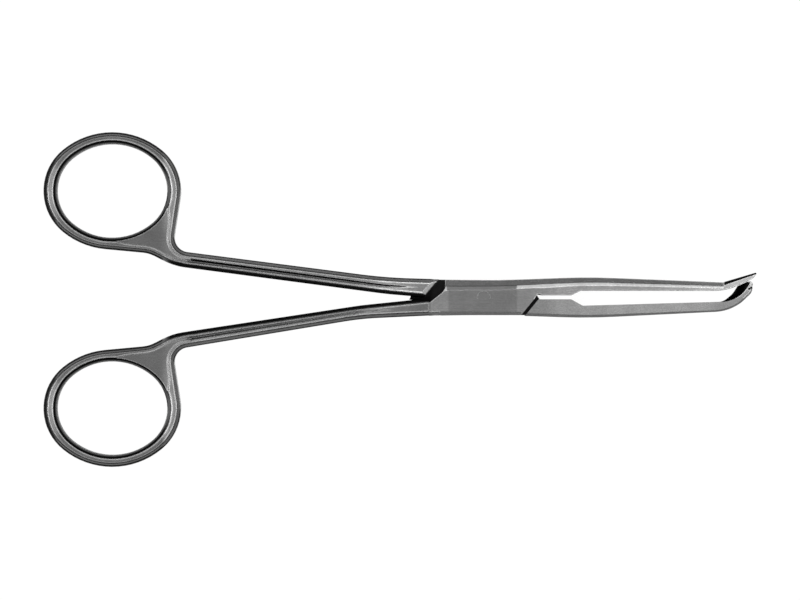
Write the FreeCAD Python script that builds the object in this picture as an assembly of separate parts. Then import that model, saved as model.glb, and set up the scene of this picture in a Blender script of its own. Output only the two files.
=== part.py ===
import FreeCAD, Part
import math
import os

# Skin marking forceps with a box lock, lying flat.
# X runs along the instrument, from the finger rings (-X) to the tips (+X).
# Z is up, and the box rests on Z = 0. The pin axis is X = 0, Y = 0.
# All sizes are millimetres and all angles are degrees.

# Thicknesses, shared out evenly above and below the middle plane
BOX_THICKNESS = 6.4
RING_THICKNESS = 4.0
TONGUE_THICKNESS = 2.2
JAW_END_THICKNESS = 2.6
POINT_THICKNESS = 1.1
SHANK_INSET = 0.04

# Finger rings: an oval hole inside an oval band, the same on both arms. Each oval has four arcs:
# one of this radius at both ends, and wider ones along the sides that follow from its size.
RING_FROM_PIN = 90.9
RING_FROM_AXIS = 26.6
RING_HOLE_LENGTH = 27.0
RING_HOLE_WIDTH = 22.9
RING_BAND_ENDS = 3.3
RING_BAND_SIDES = 2.9
RING_HOLE_END_RADIUS = 10.3
RING_OUTER_END_RADIUS = 13.0

# Crowned section of rings and shanks: a slope along every rim, blended into the crest between them.
# All follow the narrowest band.
HANDLE_SLOPE_WIDTH = 0.345 * RING_BAND_SIDES
HANDLE_SLOPE_DEPTH = 0.26 * RING_BAND_SIDES
HANDLE_CREST_RADIUS = 0.44 * RING_BAND_SIDES

# Neck between ring and shank, the same on both arms
HANDLE_AXIS_Y = -0.38
NECK_OUTER_START = -8.8
NECK_INNER_START = -95.3
NECK_CORNER_RADIUS = 3.6
NECK_KNEE_FROM_RING = 9.0
NECK_KNEE_RADIUS = 8.0
NECK_SLOPE = -27.0
NECK_TOE_RADIUS = 16.0
NECK_FROM_PIN = 70.0
NECK_OUTER = 11.3
NECK_WIDTH = 3.85

# Web between ring and shank, sunk below the two ridges that run on along the shank, and the shallow
# valley between those ridges
WEB_DEPTH = 0.13
WEB_SLOPE = 0.4
WEB_OUTER_RIDGE = 1.5
WEB_INNER_RIDGE = 1.35
WEB_END_FROM_PIN = 71.5
VALLEY_HALF_WIDTH = 0.6
VALLEY_DEPTH = 0.3
VALLEY_BEND_DEPTH = 0.22
VALLEY_FADE = 8.0
VALLEY_SHIFT = 0.15

# Shanks: outer edge, measured from the handle axis, and width, where each bends into the box
TONGUE_BEND_FROM_PIN = 24.0
TONGUE_BEND_OUTER = 5.38
TONGUE_BEND_WIDTH = 4.0
SHOULDER_OUTER = 4.93
SHOULDER_WIDTH = 4.8
TONGUE_BEND_RADIUS = 120.0
BOX_BEND_FROM_PIN = 30.0
BOX_BEND_OUTER = 4.7
BOX_BEND_WIDTH = 3.3
BOX_BEND_RADIUS = 70.0
CROTCH_FROM_PIN = 17.8
CROTCH_BEND_RADIUS = 70.0
CROTCH_END_BULGE = 0.45
SHANK_TAPER_START = 78.0
SHANK_TAPER_END = 22.0
SHANK_TAPER_RADIUS = 90.0

# Box lock: two cheeks, the walls that join them, and the tongue of the other arm between them
BOX_WIDTH = 8.4
BOX_WAIST_START = 4.0
BOX_HEEL_SPREAD = 0.14
BOX_TOP_HEEL = 0.34
BOX_TOP_WAIST = 0.17
CHEEK_REAR = 9.4
CHEEK_REAR_CORNER_Y = 2.0
CHEEK_REAR_RADIUS = 2.5
CHEEK_HEEL = 13.4
CHEEK_FRONT_LOW = 9.1
CHEEK_FRONT_BEND = 12.3
CHEEK_FRONT_TOP = 13.4
CHEEK_FRONT_CAP = 0.45
SLIT_WIDTH = 0.85
SHOULDER_TOP_FROM_PIN = 11.25
SHOULDER_ANGLE = 49.6
SHOULDER_FACET_WIDTH = 1.1
SHOULDER_FACET_DEPTH = 0.36
WALL_FROM_PIN = 3.3
WALL_ANGLE_REAR = -9.0
WALL_ANGLE_FRONT = -11.0
WALL_END_RADIUS = 5.35
WALL_CLEARANCE = 0.23
TONGUE_SIDE_CLEARANCE = 0.05
CROTCH_CLEARANCE = 0.08
REAR_LEDGE = 0.35
NOSE_FROM_PIN = 13.0

# Pivot pin, ground flush with both cheeks
PIN_DIAMETER = 3.0
PIN_CHEEK_CLEARANCE = 0.01
PIN_TONGUE_CLEARANCE = 0.05

# Jaws: a root beside the box, a long window between the jaws, and a tip
JAW_SWELL_FROM_PIN = 25.5
UPPER_JAW_SWELL = 0.95
LOWER_JAW_SWELL = 0.72
JAW_SWELL_RADIUS = 160.0
UPPER_ROOT_Y = 0.63
LOWER_ROOT_Y = -0.3
WINDOW_START = 21.4
UPPER_RAMP = 2.3
LOWER_RAMP = 2.8
WINDOW_CORNER_RADIUS = 1.2
UPPER_WINDOW_Y = 1.74
LOWER_WINDOW_START_Y = -1.88
LOWER_WINDOW_END_Y = -0.98
JAW_BEVEL_WIDTH = 2.1
JAW_END_BEVEL_WIDTH = 1.1
JAW_BEVEL_ANGLE = 37.0
JAW_RIDGE_SHARE = 1.3
JAW_RIDGE_ANGLE = 18.0
LOWER_BEVEL_WIDTH = 0.8
JAW_TAPER_START = 15.0
JAW_TAPER_RADIUS = 60.0

# Pointed tip of the upper jaw
KINK_FROM_PIN = 58.7
KINK_Y = 3.85
POINT_INNER_LEAD = 0.7
POINT_INNER_RADIUS = 12.0
POINT_OUTER_ANGLE = 16.5
POINT_LENGTH = 8.4
POINT_END_WIDTH = 1.5
POINT_NOSE_LENGTH = 1.0
POINT_BEVEL_WIDTH = 0.8
POINT_END_BEVEL_WIDTH = 0.35

# Hooked tip of the lower jaw, whose inner face slopes from a narrow top to a wide underside
HOOK_FROM_PIN = 55.8
HOOK_BEND = (59.6, -3.26)
HOOK_BEND_RADIUS = 11.0
HOOK_BACK = (62.9, -1.27)
HOOK_BACK_RADIUS = 6.0
HOOK_SIDE = (65.75, 1.3)
HOOK_SIDE_RADIUS = 2.5
HOOK_END_OUTER = 66.1
HOOK_END_RADIUS = 0.9
HOOK_END_INNER = 62.3
HOOK_FACE = (61.1, 1.0)
HOOK_FACE_RADIUS = 5.0
HOOK_ROOT = (58.75, -0.9)
HOOK_ROOT_RADIUS = 3.0
HOOK_FACE_LOW = ((57.9, -0.6), (60.8, 1.2), (62.2, 3.9))
HOOK_FACE_HIGH = ((58.2, -0.97), (62.6, 0.5), (65.25, 3.9))
HOOK_BEVEL = 0.45
HOOK_BEVEL_DEPTH = 0.34
HOOK_GAP = 0.16
HOOK_SLIT_WIDTH = 0.35
HOOK_SLIT_LENGTH = 1.5
HOOK_SLIT_FLOOR = 2.7
HOOK_SLIT_ANGLE = 34.0
HOOK_SLIT_END = (64.8, 2.08)

MIDDLE = BOX_THICKNESS / 2
HALF_BOX = BOX_WIDTH / 2
POINT_REACH = KINK_FROM_PIN + POINT_LENGTH
BEYOND = 60.0


def point(x, y, z=0.0):
    return FreeCAD.Vector(x, y, z)


def heading(angle):
    # Unit direction in plan at this angle from +X
    turn = math.radians(angle)
    return point(math.cos(turn), math.sin(turn))


def crossing(start, direction, other, other_direction):
    # Where two straight lines in plan cross
    gap = other - start
    across = direction.x * other_direction.y - direction.y * other_direction.x
    reach = (gap.x * other_direction.y - gap.y * other_direction.x) / across
    return start + direction * reach


def at_x(start, direction, x):
    return crossing(start, direction, point(x, 0.0), point(0.0, 1.0))


def at_y(start, direction, y):
    return crossing(start, direction, point(0.0, y), point(1.0, 0.0))


def line(start, end):
    return Part.LineSegment(start, end).toShape()


def arc(start, middle, end):
    return Part.Arc(start, middle, end).toShape()


def rounded_path(corners):
    # Straight runs joined by tangent arcs. Each corner is a point and the radius of its arc.
    edges = []
    last = corners[0][0]
    for index in range(1, len(corners) - 1):
        corner, radius = corners[index]
        back = (corners[index - 1][0] - corner).normalize()
        ahead = (corners[index + 1][0] - corner).normalize()
        half_turn = (math.pi - back.getAngle(ahead)) / 2
        reach = radius * math.tan(half_turn)
        arc_start = corner + back * reach
        arc_end = corner + ahead * reach
        if (arc_start - last).Length > 1e-6:
            edges.append(line(last, arc_start))
        if radius > 0.0:
            sag = radius / math.cos(half_turn) - radius
            edges.append(arc(arc_start, corner + (back + ahead).normalize() * sag, arc_end))
        last = arc_end
    edges.append(line(last, corners[-1][0]))
    return edges


def closed(corners):
    # Closed outline from corners. The first corner stays sharp.
    return Part.Wire(rounded_path(corners + [corners[0]]))


def slab(outline, thickness):
    # Extrude an outline by this thickness, half of it above the middle plane and half below
    face = Part.Face(outline)
    face.translate(point(0.0, 0.0, MIDDLE - thickness / 2))
    return face.extrude(point(0.0, 0.0, thickness))


def side_view(corners):
    # Solid with this outline in side view: X, half thickness and corner radius at each corner
    top = [(point(x, -BEYOND, MIDDLE + half), radius) for x, half, radius in corners]
    under = [(point(x, -BEYOND, MIDDLE - half), radius) for x, half, radius in reversed(corners)]
    edges = rounded_path(top) + [line(top[-1][0], under[0][0])]
    edges += rounded_path(under) + [line(under[-1][0], top[0][0])]
    return Part.Face(Part.Wire(edges)).extrude(point(0.0, 2 * BEYOND, 0.0))


def oval(centre, half_length, half_width, end_radius, first, last):
    # Tangent arcs round an oval, from one angle to another, counted from its right-hand end
    end_offset = half_length - end_radius
    side_radius = (end_offset ** 2 + half_width ** 2 - end_radius ** 2) / (2 * (half_width - end_radius))
    side_offset = side_radius - half_width
    turn = math.degrees(math.atan2(side_offset, end_offset))
    pieces = [
        (point(end_offset, 0.0), end_radius, first, turn),
        (point(0.0, -side_offset), side_radius, turn, 180.0 - turn),
        (point(-end_offset, 0.0), end_radius, 180.0 - turn, 180.0 + turn),
        (point(0.0, side_offset), side_radius, 180.0 + turn, min(last, 360.0 - turn)),
    ]
    if last > 360.0 - turn:
        pieces.append((point(end_offset, 0.0), end_radius, 360.0 - turn, last))
    edges = []
    for offset, radius, start, end in pieces:
        places = [centre + offset + heading(angle) * radius for angle in (start, (start + end) / 2, end)]
        edges.append(arc(places[0], places[1], places[2]))
    return edges


def oval(centre, half_length, half_width, end_radius, first, last):
    # Tangent arcs round an oval, from one angle to another, counted from its right-hand end
    end_offset = half_length - end_radius
    side_radius = (end_offset ** 2 + half_width ** 2 - end_radius ** 2) / (2 * (half_width - end_radius))
    side_offset = side_radius - half_width
    turn = math.degrees(math.atan2(side_offset, end_offset))
    pieces = [
        (point(end_offset, 0.0), end_radius, first, turn),
        (point(0.0, -side_offset), side_radius, turn, 180.0 - turn),
        (point(-end_offset, 0.0), end_radius, 180.0 - turn, 180.0 + turn),
        (point(0.0, side_offset), side_radius, 180.0 + turn, min(last, 360.0 - turn)),
    ]
    if last > 360.0 - turn:
        pieces.append((point(end_offset, 0.0), end_radius, 360.0 - turn, last))
    edges = []
    for offset, radius, start, end in pieces:
        places = [centre + offset + heading(angle) * radius for angle in (start, (start + end) / 2, end)]
        edges.append(arc(places[0], places[1], places[2]))
    return edges


def handle(bend, bend_low, bend_radius, end, end_low):
    # Ring, neck and shank, drawn on the +Y side of the handle axis, with rounded edges
    ring_centre = point(-RING_FROM_PIN, HANDLE_AXIS_Y + RING_FROM_AXIS)
    band = oval(ring_centre, RING_HOLE_LENGTH / 2 + RING_BAND_ENDS, RING_HOLE_WIDTH / 2 + RING_BAND_SIDES,
                RING_OUTER_END_RADIUS, NECK_OUTER_START, NECK_INNER_START + 360.0)
    neck_start = band[0].valueAt(band[0].FirstParameter)
    neck_finish = band[-1].valueAt(band[-1].LastParameter)

    neck = point(-NECK_FROM_PIN, HANDLE_AXIS_Y + NECK_OUTER)
    neck_low = neck - point(0.0, NECK_WIDTH)
    corner = crossing(neck_start, heading(NECK_OUTER_START - 90.0), neck, bend - neck)
    knee = at_x(neck_finish, heading(NECK_INNER_START + 90.0), ring_centre.x + NECK_KNEE_FROM_RING)
    toe = crossing(knee, heading(NECK_SLOPE), neck_low, bend_low - neck_low)
    inner_path = rounded_path([
        (neck_finish, 0.0),
        (knee, NECK_KNEE_RADIUS),
        (toe, NECK_TOE_RADIUS),
        (bend_low, CROTCH_BEND_RADIUS),
        (end_low, 0.0),
    ])
    outer_path = rounded_path([
        (end, 0.0),
        (bend, bend_radius),
        (corner, NECK_CORNER_RADIUS),
        (neck_start, 0.0),
    ])
    outline = Part.Wire(band + inner_path + [line(end_low, end)] + outer_path)
    hole = Part.Wire(oval(ring_centre, RING_HOLE_LENGTH / 2, RING_HOLE_WIDTH / 2, RING_HOLE_END_RADIUS,
                          0.0, 360.0))
    half_shank = BOX_THICKNESS / 2 - SHANK_INSET
    body = slab(outline, BOX_THICKNESS).cut(slab(hole, BOX_THICKNESS)).common(side_view([
        (-RING_FROM_PIN - RING_HOLE_LENGTH, RING_THICKNESS / 2, 0.0),
        (-SHANK_TAPER_START, RING_THICKNESS / 2, SHANK_TAPER_RADIUS),
        (-SHANK_TAPER_END, half_shank, SHANK_TAPER_RADIUS),
        (0.0, half_shank, 0.0),
    ]))
    rims = [edge for edge in body.Edges if is_rim(edge, end.x) and not in_ring(edge, ring_centre)]
    body = body.makeChamfer(HANDLE_SLOPE_DEPTH, HANDLE_SLOPE_WIDTH, rims)
    rims = [edge for edge in body.Edges if is_rim(edge, end.x) and in_ring(edge, ring_centre)]
    body = body.makeChamfer(HANDLE_SLOPE_WIDTH, HANDLE_SLOPE_DEPTH, rims)
    body = body.makeFillet(HANDLE_CREST_RADIUS, [edge for edge in body.Edges if is_rim(edge, end.x)])

    web = web_cutter(ring_centre, neck_start, neck, bend - neck, neck_finish, knee, neck_low, bend_low - neck_low)
    valley = valley_cutter(neck, bend, bend_low, (end - bend).normalize())
    for cutter in (web, valley):
        body = body.cut(cutter).cut(cutter.mirror(point(0.0, 0.0, MIDDLE), point(0.0, 0.0, 1.0)))
    return body


def shank_half(x):
    # Half thickness of ring and shank at this X
    share = (x + SHANK_TAPER_START) / (SHANK_TAPER_START - SHANK_TAPER_END)
    rise = BOX_THICKNESS / 2 - SHANK_INSET - RING_THICKNESS / 2
    return RING_THICKNESS / 2 + rise * min(max(share, 0.0), 1.0)


def edge_middle(edge):
    return edge.valueAt((edge.FirstParameter + edge.LastParameter) / 2)


def is_rim(edge, end_x):
    # True for the edges round the top and the underside, but not at the cut end of the shank
    box = edge.BoundBox
    middle = edge_middle(edge)
    level = abs(abs(middle.z - MIDDLE) - shank_half(middle.x)) < HANDLE_SLOPE_DEPTH / 4
    return level and box.XLength > 0.01 and box.XMin < end_x - 0.01


def in_ring(edge, ring_centre):
    # True for the rim of the finger hole
    middle = edge_middle(edge) - ring_centre
    along = middle.x / (RING_HOLE_LENGTH / 2 + HANDLE_SLOPE_WIDTH)
    across = middle.y / (RING_HOLE_WIDTH / 2 + HANDLE_SLOPE_WIDTH)
    return along ** 2 + across ** 2 < 1.05


def web_cutter(ring_centre, band_start, shank_start, shank_way, low_start, knee, low_shank, low_way):
    # Pocket with sloping walls between the ridges. Its ends run out into the finger hole.
    band_way = heading(NECK_OUTER_START - 90.0)
    shank_way = point(shank_way.x, shank_way.y).normalize()
    low_way = point(low_way.x, low_way.y).normalize()
    wires = []
    for side in (1.0, -1.0):
        outer = WEB_OUTER_RIDGE + side * WEB_SLOPE
        inner = WEB_INNER_RIDGE + side * WEB_SLOPE
        band = band_start - heading(NECK_OUTER_START) * outer
        shank = shank_start + point(shank_way.y, -shank_way.x) * outer
        low_band = low_start - heading(NECK_INNER_START) * inner
        low_slope = knee + heading(NECK_SLOPE + 90.0) * inner
        low_end = low_shank + point(-low_way.y, low_way.x) * inner
        low_knee = crossing(low_band, heading(NECK_INNER_START + 90.0), low_slope, heading(NECK_SLOPE))
        low_toe = crossing(low_slope, heading(NECK_SLOPE), low_end, low_way)
        outline = closed([
            (ring_centre - point(RING_HOLE_LENGTH * 0.26, RING_HOLE_WIDTH * 0.4), 0.0),
            (at_x(low_band, heading(NECK_INNER_START + 90.0), ring_centre.x + 2.4), 20.0),
            (low_knee, NECK_KNEE_RADIUS + inner),
            (low_toe, NECK_TOE_RADIUS - inner),
            (at_x(low_end, low_way, -WEB_END_FROM_PIN), 0.0),
            (at_x(shank, shank_way, -WEB_END_FROM_PIN), 0.0),
            (crossing(band, band_way, shank, shank_way), NECK_CORNER_RADIUS + outer),
            (at_y(band, band_way, ring_centre.y - 6.0), 16.0),
            (ring_centre + point(RING_HOLE_LENGTH * 0.44, RING_HOLE_WIDTH * 0.12), 0.0),
        ])
        outline.translate(point(0.0, 0.0, MIDDLE + RING_THICKNESS / 2 - side * WEB_DEPTH))
        wires.append(outline)
    return Part.makeLoft(wires, True, True)


def valley_cutter(neck, bend, bend_low, end_way):
    # Cutter with a V section, laid along the middle of the shank. It rises as it goes, so the valley
    # fades out before the box.
    middle = neck - point(0.0, NECK_WIDTH / 2 + VALLEY_SHIFT)
    turn = bend - point(0.0, (bend.y - bend_low.y) / 2 + VALLEY_SHIFT)
    start = at_x(middle, turn - middle, -WEB_END_FROM_PIN - 1.0)
    sections = []
    for place, depth in ((start, VALLEY_DEPTH), (turn, VALLEY_BEND_DEPTH), (turn + end_way * VALLEY_FADE, 0.0)):
        low = place + point(0.0, 0.0, MIDDLE + shank_half(place.x) - depth)
        left = low + point(0.0, -2 * VALLEY_HALF_WIDTH, 2 * VALLEY_DEPTH)
        right = low + point(0.0, 2 * VALLEY_HALF_WIDTH, 2 * VALLEY_DEPTH)
        sections.append(Part.makePolygon([low, left, right, low]))
    return Part.makeLoft(sections, True, True)


def tongue_arm_handle():
    # The shank runs straight into the shoulder, which is cut off later along a slanted line
    bend = point(-TONGUE_BEND_FROM_PIN, HANDLE_AXIS_Y + TONGUE_BEND_OUTER)
    width = point(0.0, TONGUE_BEND_WIDTH)
    end = point(-CHEEK_REAR, HANDLE_AXIS_Y + SHOULDER_OUTER)
    return handle(bend, bend - width, TONGUE_BEND_RADIUS, end, end - point(0.0, SHOULDER_WIDTH))


def box_arm_handle():
    # The same ring and neck on the other side of the axis. The shank ends just inside the box's heel,
    # with its inner edge on the line of the rear wall.
    bend = point(-BOX_BEND_FROM_PIN, HANDLE_AXIS_Y + BOX_BEND_OUTER)
    bend_low = bend - point(0.0, BOX_BEND_WIDTH)
    heel = point(-CHEEK_HEEL, 2 * HANDLE_AXIS_Y + HALF_BOX + BOX_HEEL_SPREAD - SHANK_INSET)
    crotch = point(-CROTCH_FROM_PIN, 2 * HANDLE_AXIS_Y - rear_wall(-CROTCH_FROM_PIN, 0.0).y)
    end_x = 1.0 - CHEEK_HEEL
    body = handle(bend, bend_low, BOX_BEND_RADIUS, at_x(bend, heel - bend, end_x),
                  at_x(bend_low, crotch - bend_low, end_x))
    body = body.mirror(point(0.0, HANDLE_AXIS_Y), point(0.0, 1.0))
    body = body.cut(above_rear_wall(-SHANK_INSET, TONGUE_THICKNESS + 2 * TONGUE_SIDE_CLEARANCE))
    return body.cut(above_rear_wall(REAR_LEDGE, BOX_THICKNESS))


def above_rear_wall(gap, thickness):
    # What lies above the rear wall's line. The cheeks keep a ledge there that covers the tongue's edge.
    far_left = -CROTCH_FROM_PIN - 3.0
    return slab(closed([
        (rear_wall(far_left, gap), 0.0),
        (rear_wall(0.0, gap), 0.0),
        (point(0.0, BOX_WIDTH), 0.0),
        (point(far_left, BOX_WIDTH), 0.0),
    ]), thickness)


def rear_wall(x, gap):
    # Point on the rear wall's inner edge, or on a parallel line this far nearer the pin
    way = heading(WALL_ANGLE_REAR)
    return at_x(heading(WALL_ANGLE_REAR - 90.0) * (WALL_FROM_PIN - gap), way, x)


def front_wall(x, gap):
    # The same for the front wall, on the other side of the pin
    way = heading(WALL_ANGLE_FRONT)
    return at_x(heading(WALL_ANGLE_FRONT + 90.0) * (WALL_FROM_PIN - gap), way, x)


def wall_end(foot_angle, along, gap):
    # Point where a wall's inner edge meets the arc around the pin that ends the wall
    distance = WALL_FROM_PIN - gap
    reach = math.sqrt((WALL_END_RADIUS - gap) ** 2 - distance ** 2)
    return heading(foot_angle) * distance + heading(along) * reach


def slit_edge(gap, y):
    # Point at this height on the front edge of the cheeks, or on a parallel line this far ahead of it
    low = point(CHEEK_FRONT_LOW, -HALF_BOX)
    way = (point(CHEEK_FRONT_BEND, LOWER_ROOT_Y) - low).normalize()
    return at_y(low + point(way.y, -way.x) * gap, way, y)


def slot_plan():
    # The slot through the box, seen from above: open at both long sides, between the two walls
    rear_end = wall_end(WALL_ANGLE_REAR - 90.0, WALL_ANGLE_REAR + 180.0, 0.0)
    front_end = wall_end(WALL_ANGLE_FRONT + 90.0, WALL_ANGLE_FRONT, 0.0)
    rear_corner = heading(WALL_ANGLE_REAR - 95.0) * WALL_END_RADIUS
    front_corner = heading(WALL_ANGLE_FRONT + 85.0) * WALL_END_RADIUS
    far_left = rear_wall(-CROTCH_FROM_PIN, 0.0)
    far_right = front_wall(CHEEK_FRONT_TOP, 0.0)
    return Part.Wire([
        line(far_left, rear_end),
        round_the_pin(rear_end, rear_corner),
        line(rear_corner, point(CHEEK_FRONT_TOP, -BOX_WIDTH)),
        line(point(CHEEK_FRONT_TOP, -BOX_WIDTH), far_right),
        line(far_right, front_end),
        round_the_pin(front_end, front_corner),
        line(front_corner, point(-CROTCH_FROM_PIN, BOX_WIDTH)),
        line(point(-CROTCH_FROM_PIN, BOX_WIDTH), far_left),
    ])


def round_the_pin(start, end):
    middle = (start + end).normalize() * start.Length
    return arc(start, middle, end)


def tongue_plan():
    # The tongue seen from above. Its left end fills the crotch between the shanks.
    gap = WALL_CLEARANCE
    radius = WALL_END_RADIUS - gap
    rear_end = wall_end(WALL_ANGLE_REAR - 90.0, WALL_ANGLE_REAR + 180.0, gap)
    front_end = wall_end(WALL_ANGLE_FRONT + 90.0, WALL_ANGLE_FRONT, gap)
    rear_corner = point(-math.sqrt(radius ** 2 - HALF_BOX ** 2), -HALF_BOX)
    top = HALF_BOX + BOX_TOP_WAIST
    front_corner = point(math.sqrt(radius ** 2 - top ** 2), top)
    crotch_x = -CROTCH_FROM_PIN - CROTCH_END_BULGE
    crotch_low = rear_wall(crotch_x, CROTCH_CLEARANCE)
    crotch_top = point(crotch_x, HANDLE_AXIS_Y + TONGUE_BEND_OUTER - TONGUE_BEND_WIDTH + HANDLE_SLOPE_WIDTH)
    crotch_middle = (crotch_low + crotch_top) / 2 + point(CROTCH_END_BULGE, 0.0)
    inside_shank = point(crotch_x, HALF_BOX - HANDLE_SLOPE_WIDTH)
    shank_top = point(1.0 - CROTCH_FROM_PIN, HALF_BOX + BOX_TOP_HEEL)
    jaw_low = slit_edge(SLIT_WIDTH, -HALF_BOX) + point(SLIT_WIDTH, 0.0)
    jaw_top = slit_edge(SLIT_WIDTH, LOWER_ROOT_Y) + point(SLIT_WIDTH, -SLIT_WIDTH)
    nose = front_wall(NOSE_FROM_PIN, CROTCH_CLEARANCE)
    return Part.Wire([
        arc(crotch_top, crotch_middle, crotch_low),
        line(crotch_low, rear_end),
        round_the_pin(rear_end, rear_corner),
        line(rear_corner, jaw_low),
        line(jaw_low, jaw_top),
        line(jaw_top, nose),
        line(nose, front_end),
        round_the_pin(front_end, front_corner),
        line(front_corner, shank_top),
        line(shank_top, inside_shank),
        line(inside_shank, crotch_top),
    ])


def half_thickness(x):
    # Half thickness of the box and jaws at this X
    stations = [
        (JAW_TAPER_START, BOX_THICKNESS / 2),
        (HOOK_FROM_PIN, JAW_END_THICKNESS / 2),
        (POINT_REACH, POINT_THICKNESS / 2),
    ]
    if x < stations[0][0]:
        return stations[0][1]
    first, second = stations[0:2] if x < stations[1][0] else stations[1:3]
    share = (x - first[0]) / (second[0] - first[0])
    return first[1] + share * (second[1] - first[1])


def outer_edge_y(corners, x):
    # Y at this X on the rounded path through these corners
    path = Part.Wire(rounded_path(corners))
    cut = line(point(x, -BEYOND), point(x, BEYOND))
    return path.section(cut).Vertexes[0].Point.y


def bevelled(body, corners, side, angle, first, last, steps):
    # Bevel the outer edge of a jaw above and below, from one X and bevel width to another
    for level in (1.0, -1.0):
        sections = []
        for step in range(steps + 1):
            share = step / steps
            x = first[0] + share * (last[0] - first[0])
            width = first[1] + share * (last[1] - first[1])
            depth = width * math.tan(math.radians(angle))
            edge_y = outer_edge_y(corners, x)
            face_z = MIDDLE + level * half_thickness(x)
            low = point(x, edge_y + side * width, face_z - level * 2 * depth)
            inward = point(x, edge_y - side * 2 * width, face_z + level * depth)
            outside = point(x, edge_y + side * width, face_z + level * depth)
            sections.append(Part.makePolygon([low, inward, outside, low]))
        body = body.cut(Part.makeLoft(sections, True, False))
    return body


def upper_outer_corners():
    # Outer edge of the box and upper jaw, from the cheek to the kink
    return [
        (point(-CHEEK_HEEL, HALF_BOX + BOX_TOP_HEEL), 0.0),
        (point(BOX_WAIST_START, HALF_BOX + BOX_TOP_WAIST), JAW_SWELL_RADIUS),
        (point(JAW_SWELL_FROM_PIN, HALF_BOX + UPPER_JAW_SWELL), JAW_SWELL_RADIUS),
        (point(KINK_FROM_PIN, KINK_Y), 0.0),
    ]


def lower_outer_corners():
    # Outer edge of the lower jaw, from under the box to the bend of the hook
    return [
        (point(BOX_WAIST_START, -HALF_BOX), 0.0),
        (point(JAW_SWELL_FROM_PIN, -HALF_BOX - LOWER_JAW_SWELL), JAW_SWELL_RADIUS),
        (point(HOOK_BEND[0], HOOK_BEND[1]), 0.0),
    ]


def point_end():
    return at_x(point(KINK_FROM_PIN, KINK_Y), heading(POINT_OUTER_ANGLE), POINT_REACH)


def point_inner_start():
    return point(KINK_FROM_PIN + POINT_INNER_LEAD, UPPER_WINDOW_Y)


def point_inner_edge(x, gap):
    # Point on the inner edge of the pointed tip, or on a parallel line this far below it
    start = point_inner_start()
    way = (point_end() - point(POINT_NOSE_LENGTH, POINT_END_WIDTH) - start).normalize()
    return at_x(start + point(way.y, -way.x) * gap, way, x)


def box_lower_corners():
    # Lower edge of the box, from the front of the cheeks to the heel
    return [
        (slit_edge(0.0, -HALF_BOX), 0.0),
        (point(-BOX_WAIST_START, -HALF_BOX), JAW_SWELL_RADIUS),
        (point(-CHEEK_HEEL, -HALF_BOX - BOX_HEEL_SPREAD), 0.0),
    ]


def box_and_upper_jaw():
    kink = point(KINK_FROM_PIN, KINK_Y)
    upper = upper_outer_corners()
    outline = closed([
        (rear_wall(-CHEEK_HEEL, 0.0), 0.0),
        (point(-CHEEK_REAR, CHEEK_REAR_CORNER_Y), CHEEK_REAR_RADIUS),
        (at_x(upper[0][0], upper[1][0] - upper[0][0], -CHEEK_REAR), 0.0),
    ] + upper[1:] + [
        (point_end(), 0.2),
        (point_inner_edge(POINT_REACH - POINT_NOSE_LENGTH, 0.0), 2.0),
        (point_inner_start(), POINT_INNER_RADIUS),
        (point(WINDOW_START + UPPER_RAMP, UPPER_WINDOW_Y), WINDOW_CORNER_RADIUS),
        (point(WINDOW_START, UPPER_ROOT_Y), WINDOW_CORNER_RADIUS),
        (point(CHEEK_FRONT_TOP + SLIT_WIDTH, UPPER_ROOT_Y), CHEEK_FRONT_CAP / 2),
        (point(CHEEK_FRONT_TOP, UPPER_ROOT_Y + CHEEK_FRONT_CAP), CHEEK_FRONT_CAP / 2),
        (slit_edge(0.0, LOWER_ROOT_Y), 2 * CHEEK_FRONT_CAP),
    ] + box_lower_corners())
    body = slab(outline, BOX_THICKNESS).common(side_view([
        (-CHEEK_HEEL - 1.0, BOX_THICKNESS / 2, 0.0),
        (JAW_TAPER_START, BOX_THICKNESS / 2, JAW_TAPER_RADIUS),
        (HOOK_FROM_PIN, JAW_END_THICKNESS / 2, JAW_TAPER_RADIUS),
        (POINT_REACH, POINT_THICKNESS / 2, 0.0),
        (POINT_REACH + 1.0, POINT_THICKNESS / 2, 0.0),
    ]))
    body = bevelled(body, box_lower_corners(), -1.0, JAW_BEVEL_ANGLE, (0.01 - CHEEK_HEEL, HANDLE_SLOPE_WIDTH),
                    (CHEEK_FRONT_LOW - 0.01, LOWER_BEVEL_WIDTH), 5)
    for angle, share in ((JAW_BEVEL_ANGLE, 1.0), (JAW_RIDGE_ANGLE, JAW_RIDGE_SHARE)):
        body = bevelled(body, upper_outer_corners(), 1.0, angle, (-CHEEK_HEEL, share * JAW_BEVEL_WIDTH),
                        (KINK_FROM_PIN, share * JAW_END_BEVEL_WIDTH), 11)
    tip_corners = [(kink, 0.0), (at_x(kink, heading(POINT_OUTER_ANGLE), POINT_REACH + 1.0), 0.0)]
    return bevelled(body, tip_corners, 1.0, JAW_BEVEL_ANGLE, (KINK_FROM_PIN, POINT_BEVEL_WIDTH),
                    (POINT_REACH + 0.5, POINT_END_BEVEL_WIDTH), 1)


def box_arm():
    body = box_and_upper_jaw().fuse(box_arm_handle())
    slot_height = TONGUE_THICKNESS + 2 * TONGUE_SIDE_CLEARANCE
    body = body.cut(slab(slot_plan(), slot_height)).fuse(slab(front_wall_end(), slot_height))
    return body.cut(pin_hole(PIN_CHEEK_CLEARANCE))


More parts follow.
